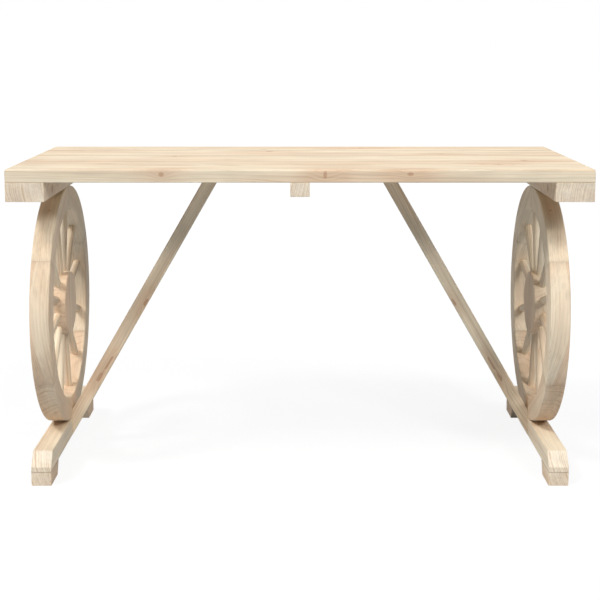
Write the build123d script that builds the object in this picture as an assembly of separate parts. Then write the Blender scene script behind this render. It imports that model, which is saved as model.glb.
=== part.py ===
from build123d import *
import os
from math import cos, radians, sin, tan

# Wagon wheel table: a plank top on two spoked wheels, each wheel standing on a
# footed beam and held square by a slanting brace.
#
# Frame: millimetres, +Z up, X along the table, Y from the front edge to the rear
# edge, origin on the floor under the middle of the top.

# ---- top ----
table_length = 1150.0
front_board_width = 166.0
middle_board_width = 138.0
rear_board_width = 108.0
top_thickness = 26.0
outer_edge_round = 4.0
seam_edge_round = 1.8
end_edge_round = 3.0

# ---- timbers under the top ----
rail_width = 76.0
rail_height = 38.0
batten_width = 38.0
batten_height = 28.0
timber_edge_round = 1.5

# ---- wheels ----
wheel_radius = 255.0
wheel_thickness = 40.0
rim_depth = 49.0
rim_edge_round = 2.5
seat_flat = 1.0
spoke_count = 12
spokes_per_felloe = 2
spoke_diameter = 16.0
hub_radius = 68.0
hub_edge_round = 2.5
hub_socket_depth = 28.0
felloe_socket_depth = 20.0
felloe_pin_diameter = 10.0
felloe_pin_length = 50.0
felloe_pin_clearance = 3.0

# ---- feet ----
pad_height = 28.0
pad_floor_length = 69.0
pad_top_length = 84.0
beam_height = 38.0
beam_end_height = 10.0
beam_end_slope = 23.0

# ---- braces ----
brace_thickness = 28.0
brace_width = 38.0
brace_angle = 60.0

# ---- screws ----
screw_diameter = 4.5
screw_head_diameter = 9.0
screw_head_height = 3.0
screw_tip_length = 6.0
screw_point_share = 0.25
board_bite = 16.0
wheel_bite = 24.0
pad_bite = 22.0
beam_bite = 26.0
board_screw_inset = 32.0
wheel_screw_offset = 16.0
pad_screw_offset = 22.0
brace_screw_offset = 9.0
head_pocket_depth = 2.0
pad_pocket_depth = 2.0

# ---- fits ----
hole_fit = 0.15
socket_end_gap = 1.0
cut_margin = 1.0

# ---- sizes worked out from the above ----
board_widths = (front_board_width, middle_board_width, middle_board_width, rear_board_width)
board_names = ("front", "mid_front", "mid_rear", "rear")
table_depth = sum(board_widths)
front_y = -table_depth / 2
half_length = table_length / 2

beam_bottom = pad_height
beam_top = beam_bottom + beam_height
wheel_centre_z = beam_top + wheel_radius - seat_flat
rail_bottom = wheel_centre_z + wheel_radius - seat_flat
rail_top = rail_bottom + rail_height
board_top = rail_top + top_thickness

inner_face_x = half_length - rail_width
outer_face_x = inner_face_x + wheel_thickness
wheel_x = (inner_face_x + outer_face_x) / 2
rim_inner_radius = wheel_radius - rim_depth
spoke_start_radius = hub_radius - hub_socket_depth
spoke_end_radius = rim_inner_radius + felloe_socket_depth - socket_end_gap
felloe_pin_radius = (
    wheel_radius - seat_flat - wheel_bite - felloe_pin_clearance - felloe_pin_diameter / 2
)
spoke_pitch = 360.0 / spoke_count
felloe_count = spoke_count // spokes_per_felloe
felloe_arc = 360.0 / felloe_count

brace_cut_height = brace_thickness / cos(radians(brace_angle))
brace_cut_length = brace_thickness / sin(radians(brace_angle))
brace_foot_z = beam_bottom + brace_cut_height / 2
brace_head_x = inner_face_x - (rail_top - brace_foot_z) / tan(radians(brace_angle))


# ---- general helpers ----
def block(x0, x1, y0, y1, z0, z1):
    """A box between two corners."""
    middle = Pos((x0 + x1) / 2, (y0 + y1) / 2, (z0 + z1) / 2)
    return middle * Box(x1 - x0, y1 - y0, z1 - z0)


def eased(timber, axis, radius):
    """A timber with its edges along one axis rounded."""
    return fillet(timber.edges().filter_by(axis), radius)


def rod(start, direction, length, diameter):
    """A round rod from a start point along a direction."""
    seat = Plane(origin=start, z_dir=direction)
    upright = (Align.CENTER, Align.CENTER, Align.MIN)
    return seat * Cylinder(diameter / 2, length, align=upright)


def screw_form(head, direction, length, clearance=0.0):
    """A countersunk wood screw, or with a clearance the hole that it sits in."""
    upright = (Align.CENTER, Align.CENTER, Align.MIN)
    shank = screw_diameter / 2 + clearance
    shank_length = length - screw_head_height - screw_tip_length
    form = Cone(screw_head_diameter / 2 + clearance, shank, screw_head_height, align=upright)
    form += Pos(0, 0, screw_head_height) * Cylinder(shank, shank_length, align=upright)
    tip_start = Pos(0, 0, screw_head_height + shank_length)
    point = shank * screw_point_share
    form += tip_start * Cone(shank, point, screw_tip_length + clearance, align=upright)
    return Plane(origin=head, z_dir=direction) * form


def drilled(timber, screws):
    """A timber with the holes of a list of screws cut in it."""
    for head, direction, length in screws:
        timber -= screw_form(head, direction, length, hole_fit)
    return timber


def pocketed(timber, screws, reach):
    """A timber with a round pocket behind each screw head, out to its surface."""
    for head, direction, _ in screws:
        back = tuple(-value for value in direction)
        timber -= rod(head, back, reach, screw_head_diameter + 2 * hole_fit)
    return timber


def both_sides(screws):
    """Screw places on the right side of the table, and their mirror images on the left."""
    places = []
    for (x, y, z), (dx, dy, dz), length in screws:
        places.append(((x, y, z), (dx, dy, dz), length))
        places.append(((-x, y, z), (-dx, dy, dz), length))
    return places


def wheel_point(x, angle, radius):
    """The point of a wheel at an angle from the horizontal and a distance from its centre."""
    return (x, radius * cos(radians(angle)), wheel_centre_z + radius * sin(radians(angle)))


def outward(angle):
    """The direction away from the wheel's centre at an angle from the horizontal."""
    return (0, cos(radians(angle)), sin(radians(angle)))


# ---- where the screws go, on the right side ----
def board_edges():
    """The front and rear edge of each board of the top, in order."""
    edges = []
    y = front_y
    for width in board_widths:
        edges.append((y, y + width))
        y += width
    return edges


def board_screw_rows():
    """The Y of each screw that goes up into a board: two to a board."""
    rows = []
    for y0, y1 in board_edges():
        rows += [y0 + board_screw_inset, y1 - board_screw_inset]
    return rows


up = (0, 0, 1)
down = (0, 0, -1)
rail_screw_x = (outer_face_x + half_length) / 2
rail_screws = [
    ((rail_screw_x, y, rail_bottom), up, rail_height + board_bite) for y in board_screw_rows()
]
batten_screws = [
    ((0, y, rail_top - batten_height), up, batten_height + board_bite)
    for y in board_screw_rows()
]
wheel_head_screws = [
    ((wheel_x, y, rail_top), down, rail_height + wheel_bite)
    for y in (-wheel_screw_offset, wheel_screw_offset)
]
wheel_foot_screws = [
    ((wheel_x, y, beam_bottom), up, beam_height + wheel_bite)
    for y in (-wheel_screw_offset, wheel_screw_offset)
]
pad_middle = (table_depth - pad_floor_length) / 2
pad_screws = [
    ((wheel_x, side * pad_middle + step, pad_pocket_depth), up, pad_height + pad_bite)
    for side in (-1, 1)
    for step in (-pad_screw_offset, pad_screw_offset)
]

# The brace's screws start in pockets in its lower face, one pair upright into the
# top and one pair level into the beam.
head_screw_x = brace_head_x
head_screw_z = rail_top - brace_cut_height / 2 + head_pocket_depth
foot_screw_z = beam_bottom + beam_height / 2
foot_screw_x = (
    inner_face_x
    - (foot_screw_z - beam_bottom) / tan(radians(brace_angle))
    + head_pocket_depth
)
brace_head_screws = [
    ((head_screw_x, y, head_screw_z), up, rail_top - head_screw_z + board_bite)
    for y in (-brace_screw_offset, brace_screw_offset)
]
brace_foot_screws = [
    ((foot_screw_x, y, foot_screw_z), (1, 0, 0), inner_face_x - foot_screw_x + beam_bite)
    for y in (-brace_screw_offset, brace_screw_offset)
]


# ---- pieces ----
def top_board(index):
    """One plank of the top, its outer edges rounder than those at the seams."""
    y0, y1 = board_edges()[index]
    plank = block(-half_length, half_length, y0, y1, rail_top, board_top)
    last = len(board_widths) - 1
    front_round = outer_edge_round if index == 0 else seam_edge_round
    rear_round = outer_edge_round if index == last else seam_edge_round
    crest = plank.faces().sort_by(Axis.Z)[-1]
    long_edges = crest.edges().filter_by(Axis.X).sort_by(Axis.Y)
    plank = fillet(long_edges[0], front_round)
    long_edges = plank.faces().sort_by(Axis.Z)[-1].edges().filter_by(Axis.X).sort_by(Axis.Y)
    plank = fillet(long_edges[-1], rear_round)
    ends = plank.faces().sort_by(Axis.Z)[-1].edges().filter_by(Axis.Y)
    plank = fillet(ends, end_edge_round)
    return drilled(plank, both_sides(rail_screws + brace_head_screws) + batten_screws)


def end_rail():
    """The right-hand rail, which the wheel stands under and the boards lie on."""
    y_rear = table_depth / 2
    rail = block(inner_face_x, half_length, front_y, y_rear, rail_bottom, rail_top)
    rail = eased(rail, Axis.Y, timber_edge_round)
    return drilled(rail, rail_screws + wheel_head_screws)


def centre_batten():
    """The batten across the middle of the boards."""
    half_width = batten_width / 2
    batten = block(
        -half_width, half_width, front_y, table_depth / 2, rail_top - batten_height, rail_top
    )
    return drilled(eased(batten, Axis.Y, timber_edge_round), batten_screws)


def felloe_ring_part():
    """A felloe's length of the rim, starting level with the centre on the rear side."""
    section = Pos(wheel_x, (wheel_radius + rim_inner_radius) / 2) * RectangleRounded(
        wheel_thickness, rim_depth, rim_edge_round
    )
    return revolve(section, Axis.X, felloe_arc)


def felloe_joints():
    """The angle of each joint between felloes, halfway between two spokes."""
    first = felloe_arc / spokes_per_felloe
    return [first + felloe_arc * number for number in range(felloe_count)]


def felloe_pin(angle, clearance=0.0):
    """The pin across a joint of the rim, or with a clearance its hole."""
    half = felloe_pin_length / 2 + clearance
    _, y, z = wheel_point(wheel_x, angle, felloe_pin_radius)
    along = (0, -sin(radians(angle)), cos(radians(angle)))
    start = (wheel_x, y - along[1] * half, z - along[2] * half)
    return rod(start, along, 2 * half, felloe_pin_diameter + 2 * clearance)


def spoke_angles():
    """The angle of each spoke, the first one half a pitch above the horizontal."""
    return [spoke_pitch * (number + 0.5) for number in range(spoke_count)]


def spoke(angle):
    """A spoke of the right wheel, from the floor of its hub socket to the rim."""
    length = spoke_end_radius - spoke_start_radius
    start = wheel_point(wheel_x, angle, spoke_start_radius)
    return rod(start, outward(angle), length, spoke_diameter)


def spoke_socket(angle, start_radius, depth):
    """The hole that an end of a spoke sits in."""
    start = wheel_point(wheel_x, angle, start_radius)
    return rod(start, outward(angle), depth, spoke_diameter + 2 * hole_fit)


def felloe(number):
    """One felloe of the right wheel, with its spoke sockets, pin holes and seat."""
    first_joint = felloe_joints()[number]
    turned = Pos(0, 0, wheel_centre_z) * Rot(first_joint, 0, 0) * felloe_ring_part()
    reach = wheel_radius + rim_depth
    seats = block(
        inner_face_x - cut_margin,
        outer_face_x + cut_margin,
        -reach,
        reach,
        beam_top,
        rail_bottom,
    )
    part = turned & seats
    for angle in spoke_angles():
        if 0 < (angle - first_joint) % 360 < felloe_arc:
            mouth = rim_inner_radius - cut_margin
            part -= spoke_socket(angle, mouth, cut_margin + felloe_socket_depth)
    for joint in (first_joint, first_joint + felloe_arc):
        part -= felloe_pin(joint, hole_fit)
    return drilled(part, wheel_head_screws + wheel_foot_screws)


def hub():
    """The hub of the right wheel, a turned disc with a socket for every spoke."""
    axle_line = Plane(origin=(inner_face_x, 0, wheel_centre_z), z_dir=(1, 0, 0))
    upright = (Align.CENTER, Align.CENTER, Align.MIN)
    disc = axle_line * Cylinder(hub_radius, wheel_thickness, align=upright)
    disc = fillet(disc.edges().filter_by(GeomType.CIRCLE), hub_edge_round)
    for angle in spoke_angles():
        disc -= spoke_socket(angle, spoke_start_radius, hub_socket_depth + cut_margin)
    return disc


def foot_beam():
    """The right-hand foot beam, its ends upright at the bottom and sloped above."""
    end = table_depth / 2
    shoulder_z = beam_bottom + beam_end_height
    outline = Polyline(
        (-end, beam_bottom),
        (end, beam_bottom),
        (end, shoulder_z),
        (end - beam_end_slope, beam_top),
        (beam_end_slope - end, beam_top),
        (-end, shoulder_z),
        close=True,
    )
    side = Plane(origin=(inner_face_x, 0, 0), x_dir=(0, 1, 0), z_dir=(1, 0, 0))
    beam = extrude(side * make_face(outline), wheel_thickness)
    beam = eased(beam, Axis.Y, timber_edge_round)
    return drilled(beam, wheel_foot_screws + pad_screws + brace_foot_screws)


def foot_pad(side_sign):
    """A pad under one end of the right-hand beam, its inner end slanted."""
    end = table_depth / 2
    outline = Polyline(
        (end, 0),
        (end, pad_height),
        (end - pad_top_length, pad_height),
        (end - pad_floor_length, 0),
        close=True,
    )
    side = Plane(origin=(inner_face_x, 0, 0), x_dir=(0, 1, 0), z_dir=(1, 0, 0))
    pad = extrude(side * make_face(outline), wheel_thickness)
    if side_sign < 0:
        pad = mirror(pad, Plane.XZ)
    return drilled(pocketed(pad, pad_screws, pad_height), pad_screws)


def brace():
    """The right-hand brace, cut level under the top and upright against the foot."""
    half_head = brace_cut_length / 2
    outline = Polyline(
        (brace_head_x - half_head, rail_top),
        (brace_head_x + half_head, rail_top),
        (inner_face_x, beam_bottom + brace_cut_height),
        (inner_face_x, beam_bottom),
        close=True,
    )
    front = Plane(origin=(0, brace_width / 2, 0), x_dir=(1, 0, 0), z_dir=(0, -1, 0))
    timber = extrude(front * make_face(outline), brace_width)
    slanted = [
        edge
        for edge in timber.edges()
        if abs(edge.length - max(e.length for e in timber.edges())) < brace_cut_length
    ]
    timber = fillet(slanted, timber_edge_round)
    screws = brace_head_screws + brace_foot_screws
    return drilled(pocketed(timber, screws, brace_cut_height), screws)


# ---- assembly ----
def screw_set(screws):
    """A group of loose screws, one solid each."""
    return Compound([screw_form(*place).solid() for place in screws])


def add_pair(nodes, name, piece):
    """Adds a right-hand piece and its mirror image on the left."""
    nodes[name + "_right"] = piece
    nodes[name + "_left"] = mirror(piece, Plane.YZ)


def build_nodes():
    """Every node of the table, by name."""
    nodes = {}
    for index, place in enumerate(board_names):
        nodes["top_board_" + place] = top_board(index)
    nodes["centre_batten"] = centre_batten()
    add_pair(nodes, "end_rail", end_rail())
    add_pair(nodes, "brace", brace())
    add_pair(nodes, "hub", hub())
    for number in range(felloe_count):
        add_pair(nodes, f"felloe_{number + 1}", felloe(number))
    for number, angle in enumerate(spoke_angles()):
        add_pair(nodes, f"spoke_{number + 1}", spoke(angle))
    add_pair(nodes, "foot_beam", foot_beam())
    add_pair(nodes, "foot_pad_front", foot_pad(-1))
    add_pair(nodes, "foot_pad_rear", foot_pad(1))

    nodes["rail_screws"] = screw_set(both_sides(rail_screws))
    nodes["batten_screws"] = screw_set(batten_screws)
    nodes["wheel_screws"] = screw_set(both_sides(wheel_head_screws + wheel_foot_screws))
    nodes["brace_screws"] = screw_set(both_sides(brace_head_screws + brace_foot_screws))
    nodes["pad_screws"] = screw_set(both_sides(pad_screws))
    pins = [felloe_pin(angle).solid() for angle in felloe_joints()]
    nodes["felloe_pins"] = Compound(pins + [mirror(pin, Plane.YZ) for pin in pins])
    return nodes


os.makedirs("parts", exist_ok=True)
for node_name, shape in build_nodes().items():
    export_step(shape, f"parts/{node_name}.step")
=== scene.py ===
"""A wagon wheel table in bare pine: four planks on two spoked wheels, feet and braces."""
import logging
import math
from dataclasses import dataclass
from enum import Enum
from functools import cache
from typing import Callable, Protocol, Sequence

import bpy
import numpy as np
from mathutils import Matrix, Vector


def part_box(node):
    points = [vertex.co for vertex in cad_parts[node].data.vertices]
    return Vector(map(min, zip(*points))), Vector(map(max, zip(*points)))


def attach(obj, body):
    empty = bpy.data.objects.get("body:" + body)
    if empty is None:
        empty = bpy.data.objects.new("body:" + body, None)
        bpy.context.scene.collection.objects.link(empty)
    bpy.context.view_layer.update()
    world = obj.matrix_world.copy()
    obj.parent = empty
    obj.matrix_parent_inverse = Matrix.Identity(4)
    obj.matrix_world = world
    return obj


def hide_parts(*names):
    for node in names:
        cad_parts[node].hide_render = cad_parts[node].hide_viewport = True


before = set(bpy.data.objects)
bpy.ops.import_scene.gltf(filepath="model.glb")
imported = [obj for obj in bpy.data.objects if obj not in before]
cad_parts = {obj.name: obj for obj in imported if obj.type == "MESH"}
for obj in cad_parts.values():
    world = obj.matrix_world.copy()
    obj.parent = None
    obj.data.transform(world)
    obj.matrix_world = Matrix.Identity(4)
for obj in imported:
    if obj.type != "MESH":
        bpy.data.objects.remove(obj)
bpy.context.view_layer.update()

log = logging.getLogger("wagon_wheel_table")

Point = tuple[float, float, float]
Colour = tuple[float, float, float]
Array = np.ndarray
Surface = tuple[Array, Array, Array, Array]
Place = Callable[[Array, Array, Array], Array]
Piece = bpy.types.Object
Socket = bpy.types.NodeSocket

MM = 0.001
FULL_TURN = 2 * math.pi
QUARTER_TURN = math.pi / 2
ROOT = "root"
SIDES = (("left", -1.0), ("right", 1.0))
X_AXIS, Y_AXIS, Z_AXIS = np.eye(3)
UP = (0.0, 0.0, 1.0)
PLANKS = ("front", "mid_front", "mid_rear", "rear")
PAD_FLOOR_LENGTH = 69 * MM
BRACE_THICKNESS = 28 * MM
BRACE_ANGLE = math.radians(60)
TIMBER_ROUND = 1.5 * MM
# Points this far inside an edge keep the face beside it flat.
HOLD = 0.4 * MM


# ---- frames and boxes
@dataclass(frozen=True)
class Frame:
    """A form's own frame: its origin, and the directions along, across and up as rows."""

    origin: Array
    axes: Array

    def place(self, along: Array, across: Array, up: Array) -> Array:
        """The points of a form: the origin plus each distance times its direction."""
        return self.origin + np.stack((along, across, up), -1) @ self.axes

    def within(self, points: Array) -> Array:
        """The distances of points along, across and up from the origin."""
        return (points - self.origin) @ self.axes.T


class Box:
    """A node's box: its corners, size and middle, and how near and far its sides are."""

    def __init__(self, node: str) -> None:
        """Reads the box. near and far are sideways distances from the table's middle.

        Args:
            node: The node.
        """
        self.low, self.high = (np.array(corner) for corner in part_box(node))
        self.size = self.high - self.low
        self.middle = (self.low + self.high) / 2
        self.near, self.far = sorted((abs(self.low[0]), abs(self.high[0])))


@cache
def box_of(node: str) -> Box:
    """The box of a node, read once."""
    return Box(node)


# ---- wood in the mesh
@dataclass(frozen=True)
class Knot:
    """A branch that runs through a timber.

    centre is its middle, from the timber's, along, across and up. run is the
    direction that it takes, reach how far it goes each way and radius its size.
    """

    centre: Point
    radius: float
    run: Point = UP
    reach: float = 30 * MM

    def way(self, places: Array) -> Array:
        """The way from the branch's middle line to each place, in its own radii.

        It is the way from its centre, less the part of it that lies along the branch.

        Args:
            places: Places in the timber, along, across and up.

        Returns:
            A vector for each, whose length is 1 at the edge of the branch.
        """
        offset = places - np.array(self.centre)
        run = np.array(self.run)
        part = np.clip(offset @ run, -self.reach, self.reach)
        return (offset - part[..., None] * run) / self.radius


@dataclass(frozen=True)
class Growth:
    """How a timber was cut from the tree.

    pith is the place of the tree's middle from the timber's, across and up, and lean
    how far it moves in each for a unit along. tone runs from 0 for pale sapwood to 1
    for redder heartwood, redder is its change for each metre across, and heart is the
    radius of the heartwood. knots are the tree's branches.
    """

    seed: int
    pith: tuple[float, float]
    tone: float = 0.3
    knots: tuple[Knot, ...] = ()
    lean: tuple[float, float] = (0.0, 0.0)
    redder: float = 0.0
    heart: float = 0.0


def points_of(mesh: bpy.types.Mesh) -> Array:
    """The points of a mesh.

    Args:
        mesh: The mesh.

    Returns:
        Their places, a row to a point.
    """
    points = np.empty(len(mesh.vertices) * 3)
    mesh.vertices.foreach_get("co", points)
    return points.reshape(-1, 3)


def store(mesh: bpy.types.Mesh, name: str, values: Array, domain: str = "POINT") -> None:
    """Puts an attribute on the points or the corners of a mesh.

    Args:
        mesh: The mesh.
        name: The attribute's name.
        values: One number or one vector for each point or corner.
        domain: POINT or CORNER.
    """
    kind, key = ("FLOAT", "value") if values.ndim == 1 else ("FLOAT_VECTOR", "vector")
    attribute = mesh.attributes.new(name, kind, domain)
    attribute.data.foreach_set(key, values.astype(np.float32).ravel())


def knot_field(mesh: bpy.types.Mesh, places: Array, knots: Sequence[Knot]) -> tuple[Array, Array]:
    """The way to each corner of a mesh from the knot that is nearest to its face.

    Args:
        mesh: The mesh.
        places: Its points in the timber, along, across and up.
        knots: The timber's knots.

    Returns:
        A vector for each corner of each face, in the knot's radii, and that radius.
    """
    far_away = 99.0
    corners = np.empty(len(mesh.loops), np.int32)
    mesh.loops.foreach_get("vertex_index", corners)
    if not knots:
        return np.full((len(corners), 3), far_away), np.zeros(len(corners))
    sizes = np.empty(len(mesh.polygons), np.int32)
    mesh.polygons.foreach_get("loop_total", sizes)
    face = np.repeat(np.arange(len(sizes)), sizes)
    at_corner = places[corners]
    middles = np.stack([np.bincount(face, at_corner[:, axis]) for axis in range(3)], 1)
    middles /= sizes[:, None]
    ways = np.stack([np.linalg.norm(knot.way(middles), axis=1) for knot in knots])
    nearest = ways.argmin(0)[face]
    result = np.empty((len(corners), 3))
    for number, knot in enumerate(knots):
        chosen = nearest == number
        result[chosen] = knot.way(at_corner[chosen])
    return result, np.array([knot.radius for knot in knots])[nearest]


def grow(piece: Piece, timber: Frame, growth: Growth) -> None:
    """Gives a piece the attributes that its wood is drawn from.

    Each point's place is turned into the tree's own frame: the distance along the
    grain, and the distances from the tree's leaning middle in the other directions.

    Args:
        piece: The piece.
        timber: The frame at its middle, along the grain, across and up.
        growth: How it was cut.
    """
    seed_step = 2.37
    local = timber.within(points_of(piece.data))
    tree = local + np.array((growth.seed * seed_step, -growth.pith[0], -growth.pith[1]))
    tree[:, 1:] -= np.outer(local[:, 0], growth.lean)
    ways, girths = knot_field(piece.data, local, growth.knots)
    store(piece.data, "grain", tree)
    store(piece.data, "knot", ways, "CORNER")
    store(piece.data, "girth", girths, "CORNER")
    store(piece.data, "tone", growth.tone + growth.redder * local[:, 1])
    store(piece.data, "heart", np.full(len(local), growth.heart))


# ---- forms
class Form(Protocol):
    """Anything that works out its surface on a grid of rings."""

    def surface(self) -> Surface:
        """Distances along, across and up with a row to a ring, and cuts across the grain."""


@dataclass
class Outline:
    """A closed cross-section: points round it, and half its width and height."""

    points: Array
    half_width: float
    half_height: float


def circle(turn: Array) -> Array:
    """The points of a unit circle, the cosine and sine of each angle."""
    return np.stack((np.cos(turn), np.sin(turn)), 1)


def rounded_outline(width: float, height: float, rounds: Sequence[float]) -> Outline:
    """The outline of a sawn timber, anticlockwise from its low/low corner.

    Each corner is a quarter circle: its centre plus its radius times the cosine and
    sine of an angle. Points close to the ends of each side keep the side flat.

    Args:
        width: The size across.
        height: The size upwards.
        rounds: The radius of the corners at low/low, high/low, high/high, low/high.

    Returns:
        The outline.
    """
    half = np.array((width / 2, height / 2))
    corners = np.array(((-1, -1), (1, -1), (1, 1), (-1, 1)), float)
    side_steps = (8, 4, 8, 4)
    arc_steps = 5
    points = []
    for number, corner in enumerate(corners):
        after = (number + 1) % 4
        turn = math.pi * (1.0 + number / 2) + np.linspace(0, QUARTER_TURN, arc_steps)
        centre = corner * (half - rounds[number])
        arc = centre + rounds[number] * circle(turn)
        direction = corners[after] - corner
        direction /= np.abs(direction).max()
        length = abs((corners[after] * (half - rounds[after]) - centre) @ direction)
        steps = np.linspace(HOLD, length - HOLD, side_steps[number])
        points += [arc, arc[-1] + steps[:, None] * direction]
    return Outline(np.concatenate(points), half[0], half[1])


def round_outline(radius: float, count: int) -> Outline:
    """The outline of a dowel or disc: a circle of so many points."""
    turn = np.linspace(0, FULL_TURN, count, endpoint=False)
    return Outline(radius * circle(turn), radius, radius)


class EndShape(Enum):
    """How the top of a timber comes down to its ends."""

    SQUARE = "square"
    ROUNDED = "rounded"
    SLOPED = "sloped"


@dataclass(frozen=True)
class End:
    """The shape of a timber's ends, how far in it reaches and how far a slope drops."""

    shape: EndShape = EndShape.SQUARE
    length: float = 0.0
    drop: float = 0.0

    def drop_at(self, depth: Array) -> Array:
        """How far the top has come down at a distance from the nearer end.

        A rounded end falls as a quarter circle, which is the radius less the root of
        its square less the square of what is left to it. A sloped end falls evenly.

        Args:
            depth: Distances from the nearer end.

        Returns:
            The drop at each of them.
        """
        if self.shape is EndShape.SQUARE:
            return np.zeros_like(depth)
        left = np.clip(self.length - depth, 0, self.length)
        if self.shape is EndShape.SLOPED:
            return self.drop * left / self.length
        return self.length - np.sqrt(self.length**2 - left**2)

    def rings(self) -> list[float]:
        """The rings that draw its shape, close together where it bends.

        Returns:
            Their distances from the end of the timber.
        """
        if self.shape is EndShape.ROUNDED:
            return list(self.length * (1 - np.cos(np.linspace(0.5, QUARTER_TURN, 6))))
        if self.shape is EndShape.SLOPED:
            return list(self.length + np.array((-8, -0.6, 0.6, 1.2)) * MM)
        return []


@dataclass
class Bar:
    """A cross-section carried along a line or an arc, closed at both ends.

    start and stop are where its middle begins and ends. start_slant and stop_slant say
    how far the ends lean for each unit across and upwards. end_round is the radius of
    the edges round its ends, spacing the step along it and slope_cut_and_highlight how
    much a sloped end's top takes of the pale cut colour: in part the cut across the
    grain, in part a painted highlight where the slope faces the lamps.
    """

    outline: Outline
    start: float
    stop: float
    end_round: float = 0.5 * MM
    spacing: float = 14 * MM
    start_slant: tuple[float, float] = (0.0, 0.0)
    stop_slant: tuple[float, float] = (0.0, 0.0)
    end: End = End()
    slope_cut_and_highlight: float = 1.5

    def rings(self) -> tuple[Array, ...]:
        """The rings of the surface, from one end's middle to the other's.

        Returns:
            For each ring its share of the length, its shift from that end, its inset
            from the outline and its scale on an end face.
        """
        turn = np.linspace(0, QUARTER_TURN, 4)
        faces = np.array((0.0, 0.4, 0.8, 0.98))
        extra = np.sort([self.end_round + HOLD] + self.end.rings())
        near = np.r_[np.zeros(len(faces)), self.end_round * (1 - np.cos(turn)), extra]
        inset = np.r_[np.full(len(faces), self.end_round), self.end_round * (1 - np.sin(turn))]
        inset = np.r_[inset, np.zeros(len(extra))]
        scale = np.r_[faces, np.ones(len(near) - len(faces))]
        count = max(2, round((self.stop - self.start) / self.spacing))
        margin = max(near.max(), self.spacing / 2) / (self.stop - self.start)
        body = np.linspace(margin, 1 - margin, count)
        share = np.r_[np.zeros(len(near)), body, np.ones(len(near))]
        shift = np.r_[near, np.zeros(count), -near[::-1]]
        inset = np.r_[inset, np.zeros(count), inset[::-1]]
        scale = np.r_[scale, np.ones(count), scale[::-1]]
        return share, shift, inset, scale

    def surface(self) -> Surface:
        """The bar in its own frame, a function of the ring and the point round it.

        Returns:
            The distance along, across and up of every ring's points, as arrays with a
            row to a ring, and how much pale cut colour each point takes: the cut across the
            grain, and on a sloped top also a painted highlight.
        """
        share, shift, inset, scale = self.rings()
        wide, high = self.outline.half_width, self.outline.half_height
        across = np.outer(scale * (1 - inset / wide), self.outline.points[:, 0])
        up = np.outer(scale * (1 - inset / high), self.outline.points[:, 1])
        first = self.start + self.start_slant[0] * across + self.start_slant[1] * up
        last = self.stop + self.stop_slant[0] * across + self.stop_slant[1] * up
        along = first * (1 - share[:, None]) + last * share[:, None] + shift[:, None]
        depth = np.minimum(along - first, last - along)
        sloped = (self.end.shape is EndShape.SLOPED) & (depth < self.end.length)
        on_top = self.outline.points[:, 1] > 0.99 * high
        # On a sloped top the pale cut colour is in part the cut across the grain and in part a
        # painted highlight.
        cut = np.where(scale[:, None] < 1, 1.0, self.slope_cut_and_highlight * (sloped & on_top))
        up = (up + high) * (1 - self.end.drop_at(depth) / (2 * high)) - high
        return along, across, up, cut


@dataclass
class Turned:
    """A profile turned round an axis, which it meets at both ends.

    places are distances along the axis and radii those from it, one for each ring.
    The surface has so many flutes, each flute_depth deep.
    """

    places: Sequence[float]
    radii: Sequence[float]
    around: int = 32
    flutes: int = 0
    flute_depth: float = 0.0

    def surface(self) -> Surface:
        """The surface: a radius times the cosine and the sine of an even turn.

        The radius is less by the depth of a flute times half of one minus the cosine
        of the turn times the number of flutes, on the widest rings alone.

        Returns:
            The distance along, across and up of every ring's points, and no cuts.
        """
        turn = np.linspace(0, FULL_TURN, self.around, endpoint=False)
        radii = np.array(self.radii)[:, None]
        hollow = self.flute_depth * (1 - np.cos(self.flutes * turn)) / 2
        radii = radii - hollow * (radii > radii.max() - self.flute_depth)
        across, up = radii * np.cos(turn), radii * np.sin(turn)
        along = np.repeat(np.array(self.places)[:, None], self.around, axis=1)
        return along, across, up, np.zeros_like(across)


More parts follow.
